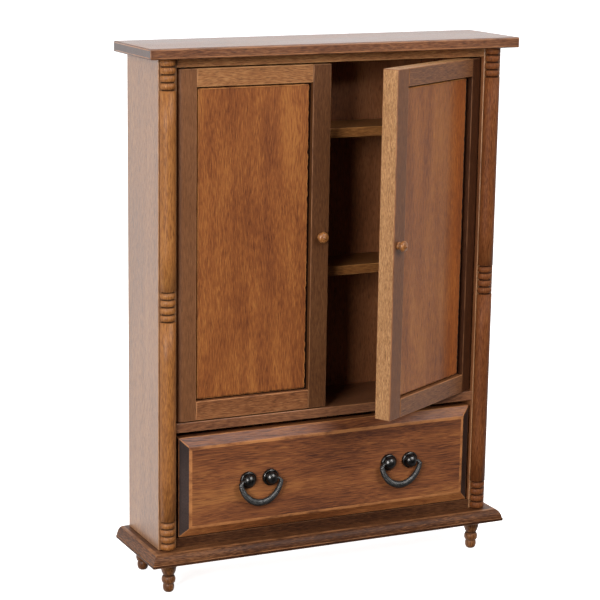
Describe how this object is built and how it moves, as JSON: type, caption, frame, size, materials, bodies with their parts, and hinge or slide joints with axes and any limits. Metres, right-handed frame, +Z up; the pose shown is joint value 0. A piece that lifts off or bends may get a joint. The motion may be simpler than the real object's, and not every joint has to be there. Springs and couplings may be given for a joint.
{
  "type": "miniature wardrobe",
  "caption": "Dolls' house wardrobe with framed doors on pivot pins over a full-width drawer with bail pulls, turned columns and feet, and a moulded base.",
  "frame": {"origin": "on the floor, midway between the side panels, in the plane of their front edges; with the right door ajar as stored, this is also the bottom centre of the bounding box to within a millimetre", "axes": "+Z up, +X to the right as seen from the front, +Y to the back; the doors and drawer face -Y"},
  "size_m": [0.1284, 0.0537, 0.175],
  "materials": {
    "carcass_wood": "stained walnut with a low satin polish",
    "turned_wood": "stained golden brown turning, satin polish",
    "frame_wood": "stained dark walnut, satin polish",
    "panel_wood": "stained figured walnut, satin polish",
    "interior_wood": "dark stained, nearly matt",
    "bronze": "blackened antique bronze, worn bright on its crests",
    "steel": "plain drawn wire"
  },
  "bodies": {
    "carcass": {"top_board": "carcass_wood", "base_board": "carcass_wood", "foot_front_left": "turned_wood", "foot_front_right": "turned_wood", "foot_rear_left": "turned_wood", "foot_rear_right": "turned_wood", "side_panel_left": "carcass_wood", "side_panel_right": "carcass_wood", "column_left": "turned_wood", "column_right": "turned_wood", "back_panel": "interior_wood", "carcass_top": "frame_wood", "middle_board": "carcass_wood", "bottom_board": "carcass_wood", "upper_shelf": "interior_wood", "lower_shelf": "interior_wood"},
    "left_door": {"left_door_hinge_stile": "frame_wood", "left_door_meeting_stile": "frame_wood", "left_door_top_rail": "frame_wood", "left_door_bottom_rail": "frame_wood", "left_door_panel": "panel_wood", "left_door_knob": "turned_wood", "left_door_bottom_pivot": "steel", "left_door_top_pivot": "steel"},
    "right_door": {"right_door_hinge_stile": "frame_wood", "right_door_meeting_stile": "frame_wood", "right_door_top_rail": "frame_wood", "right_door_bottom_rail": "frame_wood", "right_door_panel": "panel_wood", "right_door_knob": "turned_wood", "right_door_bottom_pivot": "steel", "right_door_top_pivot": "steel"},
    "drawer": {"drawer_front": "panel_wood", "drawer_side_left": "interior_wood", "drawer_side_right": "interior_wood", "drawer_back": "interior_wood", "drawer_bottom": "interior_wood", "left_pull_left_post": "bronze", "left_pull_right_post": "bronze", "right_pull_left_post": "bronze", "right_pull_right_post": "bronze"},
    "left_bail": {"left_pull_bail": "bronze"},
    "right_bail": {"right_pull_bail": "bronze"}
  },
  "joints": [
    {"name": "left_door_hinge", "type": "hinge", "parent": "carcass", "child": "left_door", "pos_m": [-0.0507, 0.0028, 0.1124], "axis": [0, 0, -1], "range_deg": [0, 95]},
    {"name": "right_door_hinge", "type": "hinge", "parent": "carcass", "child": "right_door", "pos_m": [0.0507, 0.0028, 0.1124], "axis": [0, 0, 1], "range_deg": [-30, 65]},
    {"name": "drawer_slide", "type": "slide", "parent": "carcass", "child": "drawer", "axis": [0, -1, 0], "range_m": [0, 0.016]},
    {"name": "left_bail_hinge", "type": "hinge", "parent": "drawer", "child": "left_bail", "pos_m": [-0.0256, -0.0032, 0.0354], "axis": [-1, 0, 0], "range_deg": [-4, 175]},
    {"name": "right_bail_hinge", "type": "hinge", "parent": "drawer", "child": "right_bail", "pos_m": [0.0256, -0.0032, 0.0354], "axis": [-1, 0, 0], "range_deg": [-4, 175]}
  ]
}
